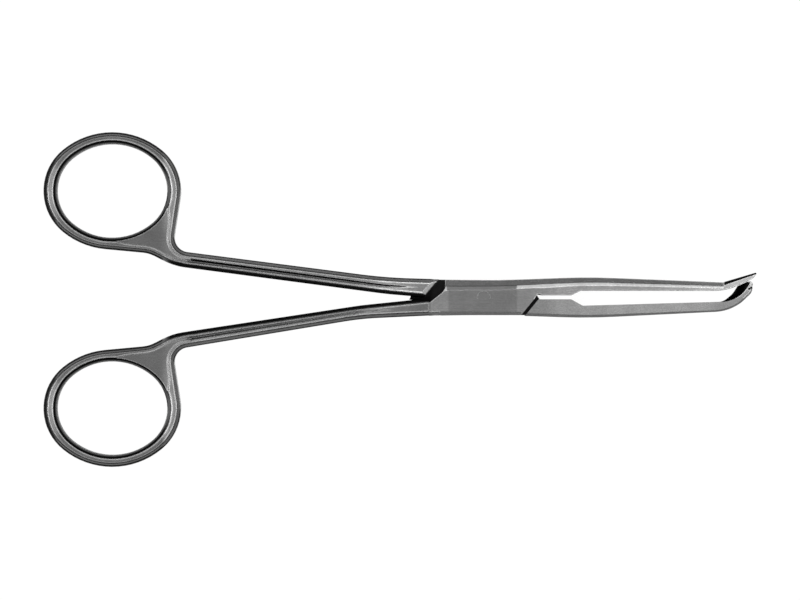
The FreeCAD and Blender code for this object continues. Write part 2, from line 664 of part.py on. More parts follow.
def front_wall_end():
    # The front wall runs on under the notch between the cheeks and the upper jaw
    return closed([
        (front_wall(NOSE_FROM_PIN - SLIT_WIDTH, 0.0), 0.0),
        (point(CHEEK_FRONT_TOP + SLIT_WIDTH, UPPER_ROOT_Y), 0.0),
        (point(CHEEK_FRONT_TOP + SLIT_WIDTH, 2 * UPPER_ROOT_Y + CHEEK_FRONT_CAP), 0.0),
        (point(NOSE_FROM_PIN - SLIT_WIDTH, 2 * UPPER_ROOT_Y + CHEEK_FRONT_CAP), 0.0),
    ])


def pin_hole(clearance):
    return Part.makeCylinder(PIN_DIAMETER / 2 + clearance, BOX_THICKNESS)


def straight_lower_jaw():
    # From the slanted shoulder at the slit to the start of the hook
    path = lower_outer_corners()
    slit_way = slit_edge(SLIT_WIDTH, 0.0) - slit_edge(SLIT_WIDTH, -HALF_BOX)
    low_way = path[1][0] - path[0][0]
    low_corner = crossing(slit_edge(SLIT_WIDTH, 0.0), slit_way, path[0][0], low_way)
    end = at_x(path[1][0], path[2][0] - path[1][0], HOOK_FROM_PIN)
    outline = closed([
        (low_corner, 0.0),
        (path[1][0], JAW_SWELL_RADIUS),
        (end, 0.0),
        (point(HOOK_FROM_PIN, LOWER_WINDOW_END_Y), 0.0),
        (point(WINDOW_START + LOWER_RAMP, LOWER_WINDOW_START_Y), WINDOW_CORNER_RADIUS),
        (point(WINDOW_START, LOWER_ROOT_Y), WINDOW_CORNER_RADIUS),
        (slit_edge(SLIT_WIDTH, LOWER_ROOT_Y), SLIT_WIDTH / 2),
    ])
    body = slab(outline, BOX_THICKNESS).common(side_view([
        (0.0, BOX_THICKNESS / 2, 0.0),
        (JAW_TAPER_START, BOX_THICKNESS / 2, JAW_TAPER_RADIUS),
        (HOOK_FROM_PIN, JAW_END_THICKNESS / 2, 0.0),
    ]))
    return bevelled(body, path, -1.0, JAW_BEVEL_ANGLE, (CHEEK_FRONT_LOW, LOWER_BEVEL_WIDTH),
                    (HOOK_FROM_PIN, HOOK_BEVEL), 9)


def hook():
    path = lower_outer_corners()
    start = at_x(path[1][0], path[2][0] - path[1][0], HOOK_FROM_PIN)
    inner_start = point(HOOK_FROM_PIN, LOWER_WINDOW_END_Y)
    end_inner = point_inner_edge(HOOK_END_INNER, HOOK_GAP)
    outline = closed([
        (inner_start, 0.0),
        (start, 0.0),
        (path[2][0], HOOK_BEND_RADIUS),
        (point(HOOK_BACK[0], HOOK_BACK[1]), HOOK_BACK_RADIUS),
        (point(HOOK_SIDE[0], HOOK_SIDE[1]), HOOK_SIDE_RADIUS),
        (point_inner_edge(HOOK_END_OUTER, HOOK_GAP), HOOK_END_RADIUS),
        (end_inner, HOOK_BEVEL / 2),
        (point(HOOK_FACE[0], HOOK_FACE[1]), HOOK_FACE_RADIUS),
        (point(HOOK_ROOT[0], HOOK_ROOT[1]), HOOK_ROOT_RADIUS),
    ])
    side_way = point_inner_edge(HOOK_END_OUTER, HOOK_GAP) - point(HOOK_SIDE[0], HOOK_SIDE[1])
    blank = slab(closed([
        (point(HOOK_FROM_PIN, BOX_WIDTH), 0.0),
        (start, 0.0),
        (path[2][0], HOOK_BEND_RADIUS),
        (point(HOOK_BACK[0], HOOK_BACK[1]), HOOK_BACK_RADIUS),
        (point(HOOK_SIDE[0], HOOK_SIDE[1]), HOOK_SIDE_RADIUS),
        (at_y(point(HOOK_SIDE[0], HOOK_SIDE[1]), side_way, BOX_WIDTH), 0.0),
    ]), JAW_END_THICKNESS)
    blank = blank.makeChamfer(HOOK_BEVEL_DEPTH, HOOK_BEVEL, [edge for edge in blank.Edges if is_hook_rim(edge)])
    body = slab(outline, JAW_END_THICKNESS).common(blank)
    return body.cut(hook_face_cutter()).cut(hook_slit())


def is_hook_rim(edge):
    # The rim of the hook above and below, along its outer side only
    box = edge.BoundBox
    return box.ZLength < 0.01 and box.XLength > 0.01 and box.YMin < HOOK_SIDE[1] + HOOK_END_RADIUS


def hook_face_cutter():
    # Slopes the inner face of the hook back, from a narrow top to its full width near the underside
    wires = []
    for level, places in ((-1.0, HOOK_FACE_LOW), (1.0, HOOK_FACE_HIGH)):
        start, middle, end = [point(x, y) for x, y in places]
        height = point(0.0, 0.0, MIDDLE + level * JAW_END_THICKNESS / 2)
        corner = point(start.x, end.y)
        wires.append(Part.Wire([
            arc(start + height, middle + height, end + height),
            line(end + height, corner + height),
            line(corner + height, start + height),
        ]))
    return Part.makeLoft(wires, True, True)


def hook_slit():
    # Narrow slit sawn into the end of the hook from above, down to this height
    way = heading(HOOK_SLIT_ANGLE)
    across = heading(HOOK_SLIT_ANGLE + 90.0) * (HOOK_SLIT_WIDTH / 2)
    low = point(HOOK_SLIT_END[0], HOOK_SLIT_END[1])
    high = low + way * (2 * HOOK_SLIT_LENGTH)
    cutter = slab(closed([
        (low - across, 0.0),
        (high - across, 0.0),
        (high + across, 0.0),
        (low + across, 0.0),
    ]), BOX_THICKNESS)
    cutter.translate(point(0.0, 0.0, HOOK_SLIT_FLOOR))
    return cutter


def shoulder_facet_cutter(shoulder_top, way, level):
    # Wedge that breaks the edge of the shoulder, above or below
    back = point(-way.y, way.x) * SHOULDER_FACET_WIDTH
    rise = point(0.0, 0.0, level * SHOULDER_FACET_DEPTH)
    face = point(0.0, 0.0, MIDDLE + level * (BOX_THICKNESS / 2 - SHANK_INSET))
    sections = []
    for reach in (-BOX_WIDTH, BOX_WIDTH):
        place = shoulder_top + way * reach + face
        low = place - back - rise * 2
        sections.append(Part.makePolygon([low, place + back * 2 + rise, place - back + rise, low]))
    return Part.makeLoft(sections, True, True)


def tongue_arm():
    shoulder_top = point(-SHOULDER_TOP_FROM_PIN, HALF_BOX)
    way = heading(SHOULDER_ANGLE)
    ahead_of_shoulder = slab(closed([
        (shoulder_top + way * BOX_WIDTH, 0.0),
        (shoulder_top - way * BOX_WIDTH, 0.0),
        (point(0.0, -BOX_WIDTH), 0.0),
        (point(0.0, 2 * BOX_WIDTH), 0.0),
    ]), BOX_THICKNESS)
    body = tongue_arm_handle().cut(ahead_of_shoulder)
    for level in (1.0, -1.0):
        body = body.cut(shoulder_facet_cutter(shoulder_top, way, level))
    body = body.fuse(slab(tongue_plan(), TONGUE_THICKNESS))
    body = body.fuse(straight_lower_jaw())
    body = body.fuse(hook())
    return body.cut(pin_hole(PIN_TONGUE_CLEARANCE))


def pivot_pin():
    return pin_hole(0.0)


os.makedirs("parts", exist_ok=True)
for name, make in (("box_arm", box_arm), ("tongue_arm", tongue_arm), ("pivot_pin", pivot_pin)):
    shape = make()
    if len(shape.Solids) == 1:
        shape = shape.Solids[0]
    print(name, shape.isValid(), len(shape.Solids), "solid,", len(shape.Faces), "faces,", round(shape.Volume, 1))
    shape.exportStep("parts/" + name + ".step")
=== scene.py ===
# %% [markdown]
# # Skin marking forceps
#
# A pair of straight forceps in polished stainless steel, made of three pieces: two forged arms and the pin
# that joins them in a box lock. The arms and the pin come from the CAD model. This file gives them their
# finish, lays them on a white table and photographs them from straight above. All lengths are in metres.

# %% Load the solid model
import math

import bmesh
import bpy
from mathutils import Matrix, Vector


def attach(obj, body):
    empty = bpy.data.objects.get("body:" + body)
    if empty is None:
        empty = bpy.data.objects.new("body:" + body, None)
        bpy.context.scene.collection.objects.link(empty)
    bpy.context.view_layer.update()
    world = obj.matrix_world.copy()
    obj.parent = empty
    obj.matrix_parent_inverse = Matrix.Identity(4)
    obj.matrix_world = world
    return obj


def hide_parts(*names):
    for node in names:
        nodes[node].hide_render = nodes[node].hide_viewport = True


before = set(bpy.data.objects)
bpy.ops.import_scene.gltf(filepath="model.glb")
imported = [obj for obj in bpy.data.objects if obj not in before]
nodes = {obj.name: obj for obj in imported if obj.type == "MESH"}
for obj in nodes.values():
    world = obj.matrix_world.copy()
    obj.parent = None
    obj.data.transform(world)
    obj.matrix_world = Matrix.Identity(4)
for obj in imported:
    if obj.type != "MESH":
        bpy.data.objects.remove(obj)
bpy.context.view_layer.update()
for name, node in nodes.items():
    print(name, len(node.data.polygons), "faces")

# %% [markdown]
# ## Smooth skins for the forged pieces
#
# The solid model arrives as flat facets, and each facet has corners of its own, so light breaks at every
# edge. A real forging is ground and polished until its roundings flow. A copy of each piece is welded, so
# that neighbouring facets share their corners, and then shaded smoothly, except across the crisp edges of
# the box, the bevels and the tips. The copy takes the place of the piece it came from.

# %% Weld and smooth a copy of a piece
BODIES = {"box_arm": "box_arm_body", "tongue_arm": "tongue_arm_body", "pivot_pin": "box_arm_body"}
CRISP_EDGE = math.radians(16.0)
WELD_DISTANCE = 0.000002
LARGE_FACES_FIRST = 100


def smooth_skin(name):
    skin = nodes[name].copy()
    skin.data = nodes[name].data.copy()
    skin.name = name + "_skin"
    skin.parent = None
    bpy.context.scene.collection.objects.link(skin)
    shape = bmesh.new()
    shape.from_mesh(skin.data)
    before = len(shape.verts)
    bmesh.ops.remove_doubles(shape, verts=shape.verts, dist=WELD_DISTANCE)
    for face in shape.faces:
        face.smooth = True
    for edge in shape.edges:
        edge.smooth = len(edge.link_faces) == 2 and edge.calc_face_angle() < CRISP_EDGE
    shape.to_mesh(skin.data)
    print(skin.name, before, "corners welded to", len(shape.verts))
    shape.free()
    if skin.data.has_custom_normals:
        bpy.context.view_layer.objects.active = skin
        bpy.ops.mesh.customdata_custom_splitnormals_clear()
    skin.data.materials.clear()
    even = skin.modifiers.new("even_shading", "WEIGHTED_NORMAL")
    even.keep_sharp = True
    even.weight = LARGE_FACES_FIRST
    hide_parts(name)
    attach(skin, BODIES[name])
    return skin


skins = {name: smooth_skin(name) for name in BODIES}

# %% [markdown]
# ## Polished steel
#
# The arms are stainless steel, ground with fine belts along their length and then buffed. What is left is a
# semi-bright metal with faint streaks that run from the rings to the tips. The streaks are a noise texture
# stretched along X in the piece's own coordinates. They move the roughness a little and tilt the surface
# very slightly.

# %% Helpers for metals
ROUGHNESS = 0.26


def metal(name, tone):
    material = bpy.data.materials.new(name)
    material.use_nodes = True
    shader = material.node_tree.nodes["Principled BSDF"]
    shader.inputs["Base Color"].default_value = (tone, tone, tone, 1.0)
    shader.inputs["Metallic"].default_value = 1.0
    shader.inputs["Roughness"].default_value = ROUGHNESS
    return material, shader


def add_node(material, kind, place, **settings):
    node = material.node_tree.nodes.new(kind)
    node.location = place
    for setting, value in settings.items():
        setattr(node, setting, value)
    return node


def connect(material, start, end):
    material.node_tree.links.new(start, end)


# %% Streaks left by the grinding belt
STREAK_LENGTH = 0.03
STREAK_WIDTH = 0.00012
STREAK_DEPTH = 0.00002
STREAK_STRENGTH = 0.05
ROUGHNESS_SPREAD = 0.04


def belt_streaks(material):
    coordinates = add_node(material, "ShaderNodeTexCoord", (-1500, 0))
    stretch = add_node(material, "ShaderNodeMapping", (-1300, 0))
    stretch.inputs["Scale"].default_value = (1 / STREAK_LENGTH, 1 / STREAK_WIDTH, 1 / STREAK_WIDTH)
    streaks = add_node(material, "ShaderNodeTexNoise", (-1100, 0))
    streaks.inputs["Scale"].default_value = 1.0
    streaks.inputs["Detail"].default_value = 3.0
    connect(material, coordinates.outputs["Object"], stretch.inputs["Vector"])
    connect(material, stretch.outputs["Vector"], streaks.inputs["Vector"])
    return coordinates, streaks.outputs["Fac"]


def streaky_finish(material, shader, streaks, normal=None):
    rough = add_node(material, "ShaderNodeMapRange", (-650, 150))
    rough.inputs["To Min"].default_value = ROUGHNESS - ROUGHNESS_SPREAD
    rough.inputs["To Max"].default_value = ROUGHNESS + ROUGHNESS_SPREAD
    grain = add_node(material, "ShaderNodeBump", (-400, -250))
    grain.inputs["Strength"].default_value = STREAK_STRENGTH
    grain.inputs["Distance"].default_value = STREAK_DEPTH
    connect(material, streaks, rough.inputs["Value"])
    connect(material, rough.outputs["Result"], shader.inputs["Roughness"])
    connect(material, streaks, grain.inputs["Height"])
    if normal:
        connect(material, normal, grain.inputs["Normal"])
    connect(material, grain.outputs["Normal"], shader.inputs["Normal"])


# %% [markdown]
# ## Finding a place on the surface
#
# The finish of a forging changes from place to place, and so do the painted shade and highlights laid on it.
# Each place is found by where it lies in the piece's own coordinates and by the direction that its surface
# faces. A mask is 1 in the place and 0 elsewhere, and it comes from a few sums on those numbers. A pair of
# numbers says where a mask starts and ends.

# %% Sums on coordinates
def remap(material, value, start, end, low, high):
    node = add_node(material, "ShaderNodeMapRange", (-300, 400), interpolation_type="SMOOTHSTEP")
    node.inputs["From Min"].default_value = start
    node.inputs["From Max"].default_value = end
    node.inputs["To Min"].default_value = low
    node.inputs["To Max"].default_value = high
    connect(material, value, node.inputs["Value"])
    return node.outputs["Result"]


def calculate(material, operation, first, second=None):
    node = add_node(material, "ShaderNodeMath", (-500, 500), operation=operation)
    for socket, value in zip(node.inputs, (first, second)):
        if isinstance(value, float):
            socket.default_value = value
        elif value is not None:
            connect(material, value, socket)
    return node.outputs["Value"]


def product(material, values):
    result = values[0]
    for value in values[1:]:
        result = calculate(material, "MULTIPLY", result, value)
    return result


# %% Masks from one number, and the shade that a mask gives
def rises(material, value, span):
    return remap(material, value, *span, 0.0, 1.0)


def falls(material, value, span):
    return remap(material, value, *span, 1.0, 0.0)


def between(material, value, span, soft=0.0001):
    start, end = span
    return calculate(material, "MULTIPLY", rises(material, value, (start - soft, start + soft)),
                     falls(material, value, (end - soft, end + soft)))


def shaded(material, mask, shade):
    return remap(material, mask, 0.0, 1.0, 1.0, shade)


# %% Where a point lies and which way it faces
HANDLE_AXIS_Y = -0.00038
BOX_MIDDLE = 0.0032
RING_FRONT = -0.078
RING_HALF_THICKNESS = 0.002
SHANK_FRONT = -0.022
SHANK_HALF_THICKNESS = 0.00316


def half_thickness(material, x):
    node = add_node(material, "ShaderNodeMapRange", (-900, 1500))
    node.inputs["From Min"].default_value = RING_FRONT
    node.inputs["From Max"].default_value = SHANK_FRONT
    node.inputs["To Min"].default_value = RING_HALF_THICKNESS
    node.inputs["To Max"].default_value = SHANK_HALF_THICKNESS
    connect(material, x, node.inputs["Value"])
    return node.outputs["Result"]


def surface_place(material, coordinates):
    where = add_node(material, "ShaderNodeSeparateXYZ", (-1100, 800))
    facing = add_node(material, "ShaderNodeSeparateXYZ", (-1100, 500))
    connect(material, coordinates.outputs["Object"], where.inputs["Vector"])
    connect(material, coordinates.outputs["Normal"], facing.inputs["Vector"])
    from_axis = calculate(material, "SUBTRACT", where.outputs["Y"], HANDLE_AXIS_Y)
    from_middle = calculate(material, "SUBTRACT", where.outputs["Z"], BOX_MIDDLE)
    side = calculate(material, "SIGN", from_axis)
    level = calculate(material, "ABSOLUTE", from_middle)
    return {
        "x": where.outputs["X"],
        "y": where.outputs["Y"],
        "from_pin": calculate(material, "ABSOLUTE", where.outputs["X"]),
        "off_axis": calculate(material, "ABSOLUTE", from_axis),
        "level": level,
        "below_top": calculate(material, "SUBTRACT", half_thickness(material, where.outputs["X"]), level),
        "faces_x": facing.outputs["X"],
        "faces_y": facing.outputs["Y"],
        "faces_out": calculate(material, "MULTIPLY", facing.outputs["Y"], side),
        "faces_up": calculate(material, "ABSOLUTE", facing.outputs["Z"]),
    }


# %% Which way a ring's surface faces, seen from the middle of the ring
RING_X = -0.0909
RING_OFF_AXIS = 0.0266


def from_ring(material, at):
    along = calculate(material, "SUBTRACT", at["x"], RING_X)
    across = calculate(material, "SUBTRACT", at["off_axis"], RING_OFF_AXIS)
    return calculate(material, "ADD", product(material, [along, at["faces_x"]]),
                     product(material, [across, at["faces_out"]]))


# %% [markdown]
# ## Painted shade in the hollows
#
# The walls of the slot, the thinned tongue inside it, the sides of the shanks that face each other, the
# inside of the finger rings, the hollow along the upper shank and the inner face of the hook get a nearly
# black painted shade, and their bright reflections at a slant are taken away.

# %% Painted shade on the sides of the shanks that face each other
SHANK_INSIDE = (-0.0775, -0.0136)
SHANK_INWARD = (-0.35, -0.15)
SHANK_INSIDE_DEPTH = (0.00014, 0.00024)


# Painted shade on the inner sides of the shanks, below their top.
def shank_insides(material, at):
    return product(material, [falls(material, at["faces_out"], SHANK_INWARD),
                              rises(material, at["below_top"], SHANK_INSIDE_DEPTH),
                              between(material, at["x"], SHANK_INSIDE, soft=0.002)])


# %% Painted shade on the inside of the finger rings, darkest near the top
RING_WALL = (-0.12, -0.0775)
RING_INWARD = (-0.004, -0.0015)
RING_WALL_DEPTH = (0.00007, 0.00014)
RING_WALL_TOP = (0.0015, 0.0016)
LOW_WALL_SHARE = 0.45


def ring_walls(material, at):
    return product(material, [falls(material, from_ring(material, at), RING_INWARD),
                              between(material, at["x"], RING_WALL, soft=0.002)])


# Painted shade on the inner walls of the rings, lighter on the lower part of the wall.
def ring_insides(material, at):
    return product(material, [ring_walls(material, at),
                              remap(material, at["level"], *RING_WALL_TOP, LOW_WALL_SHARE, 1.0),
                              rises(material, at["below_top"], RING_WALL_DEPTH)])


# %% Painted shade in the slot of the lock and the slit of the hook, but not on the outer sides of the box
UPRIGHT = (0.1, 0.2)
BOX_SIDE = (0.0034, 0.0036)
SLOT = (-0.0195, 0.0146)
SLOT_LEVEL = (0.0012, 0.0014)
SLIT = (0.062, 0.08)
SLIT_SIDE = (0.0034, 0.0036)
SLIT_LEVEL = (0.0008, 0.0009)


# Painted shade inside the slot and the slit, where the recess lies in shadow.
def slot_layers(material, at):
    box_sides = product(material, [falls(material, at["faces_up"], UPRIGHT),
                                   rises(material, at["off_axis"], BOX_SIDE)])
    slot = product(material, [between(material, at["x"], SLOT),
                              falls(material, at["level"], SLOT_LEVEL)])
    slit = product(material, [between(material, at["x"], SLIT),
                              falls(material, at["y"], SLIT_SIDE),
                              falls(material, at["level"], SLIT_LEVEL)])
    return product(material, [calculate(material, "MAXIMUM", slot, slit),
                              shaded(material, box_sides, 0.0)])


# %% Painted shade on the inner face of the hook, below the line of the point
HOOK = (0.0557, 0.08)
HOOK_END = (0.0588, 0.0592)
HOOK_FACING_Y = 0.64
HOOK_FACING_X = 0.77
HOOK_FACING = (0.03, 0.12)
POINT_SLOPE = 0.4
POINT_LINE = (-0.0221, -0.022)


# Painted shade on the inner face of the hook.
def hook_face(material, at):
    towards = calculate(material, "SUBTRACT",
                        calculate(material, "MULTIPLY", at["faces_y"], HOOK_FACING_Y),
                        calculate(material, "MULTIPLY", at["faces_x"], HOOK_FACING_X))
    across = calculate(material, "SUBTRACT", at["y"],
                       calculate(material, "MULTIPLY", at["x"], POINT_SLOPE))
    below_point = falls(material, across, POINT_LINE)
    return product(material, [rises(material, towards, HOOK_FACING),
                              calculate(material, "MAXIMUM", below_point,
                                        rises(material, at["x"], HOOK_END)),
                              between(material, at["x"], HOOK)])


# %% Painted shade in the hollow along the upper shank
HOLLOW_TILT = (0.87, 0.906)
HOLLOW_SIDE = (-0.1, 0.1)
HOLLOW_REAR = (-0.0795, -0.072)
HOLLOW_FRONT = (-0.02, -0.018)
UPPER_HALF = (0.0, 0.001)


# Painted shade on the walls of the hollow, picked out by their tilt.
def shank_hollow(material, at):
    return product(material, [between(material, at["faces_up"], HOLLOW_TILT, soft=0.006),
                              falls(material, at["faces_out"], HOLLOW_SIDE),
                              rises(material, at["y"], UPPER_HALF),
                              rises(material, at["x"], HOLLOW_REAR),
                              falls(material, at["x"], HOLLOW_FRONT)])


# %% [markdown]
# ## Painted shade on the slopes of the rings and shanks
#
# Rings and shanks have a crest, a gentle slope outside it and a steeper slope under that. The slopes get a
# painted shade that makes them darker than the crest, and their foot a nearly black painted shade, widest
# round the rear of the rings. The walls under them stand upright and get a lighter painted shade, down to a
# plain grey.

# %% Painted shade at the foot of the outer slopes
SHANK_FOOT = (-0.0785, -0.0125)
SHANK_OUTWARD = (-0.1, 0.1)
SHANK_FOOT_DEPTH = (0.00045, 0.00065)
RING_SLOPE = (-0.12, -0.0785)
RING_OUTWARD = (0.0005, 0.0015)
RING_FOOT_DEPTH = (0.0003, 0.0005)
REAR_FOOT = (-0.1055, -0.1035)
REAR_FOOT_DEPTH = (0.0001, 0.0003)


def slope_feet(material, at):
    shank = product(material, [rises(material, at["faces_out"], SHANK_OUTWARD),
                               rises(material, at["below_top"], SHANK_FOOT_DEPTH),
                               between(material, at["x"], SHANK_FOOT, soft=0.0005)])
    outward = rises(material, from_ring(material, at), RING_OUTWARD)
    ring = product(material, [outward,
                              rises(material, at["below_top"], RING_FOOT_DEPTH),
                              between(material, at["x"], RING_SLOPE, soft=0.0005)])
    rear = product(material, [outward,
                              rises(material, at["below_top"], REAR_FOOT_DEPTH),
                              falls(material, at["x"], REAR_FOOT)])
    feet = calculate(material, "MAXIMUM", calculate(material, "ADD", shank, ring), rear)
    return product(material, [feet, rises(material, at["faces_up"], UPRIGHT)])


# %% Painted shade on the gentle slopes outside the crest
GENTLE = (0.84, 0.88)
SHANK_SLOPE = (-0.0785, -0.0155)
SHANK_SLOPE_OUTWARD = (0.1, 0.2)
SHANK_SLOPE_DEPTH = (0.00004, 0.00012)
RING_SLOPE_OUTWARD = (0.0004, 0.0012)


def gentle_slopes(material, at):
    shank = product(material, [rises(material, at["faces_out"], SHANK_SLOPE_OUTWARD),
                               rises(material, at["below_top"], SHANK_SLOPE_DEPTH),
                               between(material, at["x"], SHANK_SLOPE, soft=0.001)])
    ring = product(material, [rises(material, from_ring(material, at), RING_SLOPE_OUTWARD),
                              between(material, at["x"], RING_SLOPE, soft=0.0005)])
    return product(material, [rises(material, at["faces_up"], GENTLE),
                              calculate(material, "ADD", shank, ring)])


# %% Painted shade on slopes and walls
FOOT_SHADE = 0.1
SLOPE_SHADE = 0.58
# The deepest painted shade, used in the hollows above and, doubled, on steep faces.
DEEP_PAINTED_SHADE = 0.04
RIM_SHADE = 2 * DEEP_PAINTED_SHADE
UPRIGHT_SHADE = 0.4
STEEP = (0.35, 0.7)


def slope_shades(material, at):
    # Steep faces all over the arms get a deep painted shade, and upright walls a lighter painted shade.
    leaning = rises(material, at["faces_up"], UPRIGHT)
    rims = product(material, [falls(material, at["faces_up"], STEEP),
                              calculate(material, "MAXIMUM", leaning, ring_walls(material, at))])
    return [
        shaded(material, rims, RIM_SHADE),
        remap(material, at["faces_up"], *UPRIGHT, UPRIGHT_SHADE, 1.0),
        shaded(material, slope_feet(material, at), FOOT_SHADE),
        shaded(material, gentle_slopes(material, at), SLOPE_SHADE),
    ]


# %% [markdown]
# ## Satin on the lock
#
# The faces of the box are ground flat after the pin is riveted, so they are a little darker than the buffed
# jaws, and darkest on the panel in their middle, which is left bare here. Its rim is dulled with it.

# %% The lock and the panel on it
FLAT = (0.97, 0.99)
LOCK_REACH = (0.012, 0.024)
LOCK_TONE = 0.85
PANEL = (-0.0086, 0.0081)
PANEL_TONE = 0.75
PANEL_RIM = (-0.0091, 0.0081)
PANEL_RIM_TILT = (0.88, 0.99)
PANEL_RIM_SHADE = 0.3


def lock_shades(material, at):
    flat = rises(material, at["faces_up"], FLAT)
    lock = product(material, [flat, falls(material, at["from_pin"], LOCK_REACH)])
    panel = product(material, [flat, between(material, at["x"], PANEL, soft=0.0004)])
    rim = product(material, [between(material, at["faces_up"], PANEL_RIM_TILT, soft=0.005),
                             between(material, at["x"], PANEL_RIM, soft=0.0004)])
    return [
        shaded(material, lock, LOCK_TONE),
        shaded(material, panel, PANEL_TONE),
        shaded(material, rim, PANEL_RIM_SHADE),
    ]


# %% [markdown]
# ## Darker handles and painted highlights
#
# The tops of the handles are a darker tone than the jaws, and their ridges get painted shade where they tilt
# a little. The crests of the rings get a painted highlight at their rear and front, and the upper point is a
# lighter tone than the rest. The small facet of the shoulder, where the upper shank enters the lock, gets a
# little painted shade.

# %% The handles, their ridges and the flats of the rings
UPPER_HANDLE_END = (-0.035, -0.02)
LOWER_HANDLE_END = (-0.0135, -0.0125)
HANDLE_TONE = 0.62
RING_END = (-0.08, -0.076)
RING_TONE = 0.75
RIDGE_TILT = (0.86, 0.985)
RIDGE_SHADE = 0.75


def handle_shades(material, at):
    upper = product(material, [rises(material, at["y"], UPPER_HALF),
                               falls(material, at["x"], UPPER_HANDLE_END)])
    lower = product(material, [falls(material, at["y"], UPPER_HALF),
                               falls(material, at["x"], LOWER_HANDLE_END)])
    handles = product(material, [rises(material, at["faces_up"], GENTLE),
                                 calculate(material, "ADD", upper, lower)])
    ring = product(material, [rises(material, at["faces_up"], FLAT),
                              falls(material, at["x"], RING_END)])
    # Painted shade over the highlight of the handle ridges, where they tilt a little.
    ridge = product(material, [between(material, at["faces_up"], RIDGE_TILT, soft=0.005), handles])
    return [
        shaded(material, handles, HANDLE_TONE),
        shaded(material, ring, RING_TONE),
        shaded(material, ridge, RIDGE_SHADE),
    ]


# %% The point, the painted highlights on the crests and the shoulder
POINT_START = (0.042, 0.056)
POINT_SIDE = (0.0015, 0.0017)
POINT_SHADE = 1.25
CREST = (0.95, 0.98)
REAR_CREST = (-0.1065, -0.1025)
FRONT_CREST = (-0.0785, -0.0748)
FRONT_CREST_OFF_AXIS = (0.012, 0.02)
FRONT_CREST_SHARE = 0.4
CREST_HIGHLIGHT_SHADE = 2.2
SHOULDER = (-0.02, -0.0085)
SHOULDER_FACING = (0.08, 0.15)
SHOULDER_SHADE = 0.6


def point_crest_and_shoulder_shades(material, at):
    # The upper point is made a lighter tone than the rest.
    point = product(material, [rises(material, at["x"], POINT_START),
                               rises(material, at["y"], POINT_SIDE)])
    front = product(material, [between(material, at["x"], FRONT_CREST, soft=0.001),
                               rises(material, at["off_axis"], FRONT_CREST_OFF_AXIS)])
    ends = calculate(material, "ADD", calculate(material, "MULTIPLY", front, FRONT_CREST_SHARE),
                     falls(material, at["x"], REAR_CREST))
    # Painted highlight on the crests of the rings, at their rear and, weaker, at their front.
    crests = product(material, [rises(material, at["faces_up"], CREST), ends])
    # Painted shade over the bright reflection on the small facet of the shoulder.
    shoulder = product(material, [between(material, at["faces_up"], RIDGE_TILT, soft=0.005),
                                  rises(material, at["faces_x"], SHOULDER_FACING),
                                  between(material, at["x"], SHOULDER)])
    return [
        shaded(material, point, POINT_SHADE),
        shaded(material, crests, CREST_HIGHLIGHT_SHADE),
        shaded(material, shoulder, SHOULDER_SHADE),
    ]


# %% [markdown]
# ## Softened edges and mottling
#
# Buffing takes the sharpness off the ridges, which shows as a soft bright line. The shading is rounded there
# over less than half a millimetre. The lower edges of the box and jaws stay sharp. A fine mottling goes over
# everything, as tumbling the forgings leaves it.

# %% Edges softened by buffing
EDGE_ROUNDING = 0.0004
LOWER_HALF = (-0.0005, 0.0005)
BOX_REAR = (-0.011, -0.01)


def worn_edges(material, at):
    rounded = add_node(material, "ShaderNodeBevel", (-1100, -350), samples=8)
    rounded.inputs["Radius"].default_value = EDGE_ROUNDING
    sharp = add_node(material, "ShaderNodeNewGeometry", (-1100, -500))
    sharp_places = product(material, [falls(material, at["y"], LOWER_HALF),
                                      rises(material, at["x"], BOX_REAR)])
    # The sockets have the same names for numbers and vectors. The vectors are 4 and 5, and 1 comes out.
    mix = add_node(material, "ShaderNodeMix", (-900, -400), data_type="VECTOR")
    connect(material, sharp_places, mix.inputs[0])
    connect(material, rounded.outputs["Normal"], mix.inputs[4])
    connect(material, sharp.outputs["Normal"], mix.inputs[5])
    return mix.outputs[1]


# %% Mottling left by tumbling
FINE_MOTTLES = 0.0005
COARSE_MOTTLES = 0.004
MOTTLE_AMOUNT = 0.06
NOISE_SPREAD = (0.3, 0.7)


def mottling(material, coordinates, size):
    grain = add_node(material, "ShaderNodeTexNoise", (-900, 1200))
    grain.inputs["Scale"].default_value = 1 / size
    grain.inputs["Detail"].default_value = 2.0
    connect(material, coordinates.outputs["Object"], grain.inputs["Vector"])
    return remap(material, grain.outputs["Fac"], *NOISE_SPREAD, 1.0 - MOTTLE_AMOUNT, 1.0 + MOTTLE_AMOUNT)


# %% Steel of the arms
ARM_TONE = 0.62
PAINTED_SHADE_PLACES = (shank_insides, ring_insides, slot_layers, hook_face, shank_hollow)


def arm_finish(name):
    material, shader = metal(name, ARM_TONE)
    coordinates, streaks = belt_streaks(material)
    at = surface_place(material, coordinates)
    streaky_finish(material, shader, streaks, worn_edges(material, at))
    # Painted shade: in the dark places listed above, the colour drops to the deepest painted shade and the
    # specular tint to black, which takes away their bright reflections at a slant.
    free_of_painted_shade = product(material, [shaded(material, dark(material, at), 0.0) for dark in PAINTED_SHADE_PLACES])
    connect(material, free_of_painted_shade, shader.inputs["Specular Tint"])
    shades = [
        *slope_shades(material, at),
        *lock_shades(material, at),
        *handle_shades(material, at),
        *point_crest_and_shoulder_shades(material, at),
        remap(material, free_of_painted_shade, 0.0, 1.0, DEEP_PAINTED_SHADE, 1.0),
        mottling(material, coordinates, FINE_MOTTLES),
        mottling(material, coordinates, COARSE_MOTTLES),
    ]
    shade = calculate(material, "MULTIPLY", product(material, shades), ARM_TONE)
    connect(material, shade, shader.inputs["Base Color"])
    return material


arm_steel = arm_finish("arm_steel")
print(arm_steel.name, len(arm_steel.node_tree.nodes), "nodes")

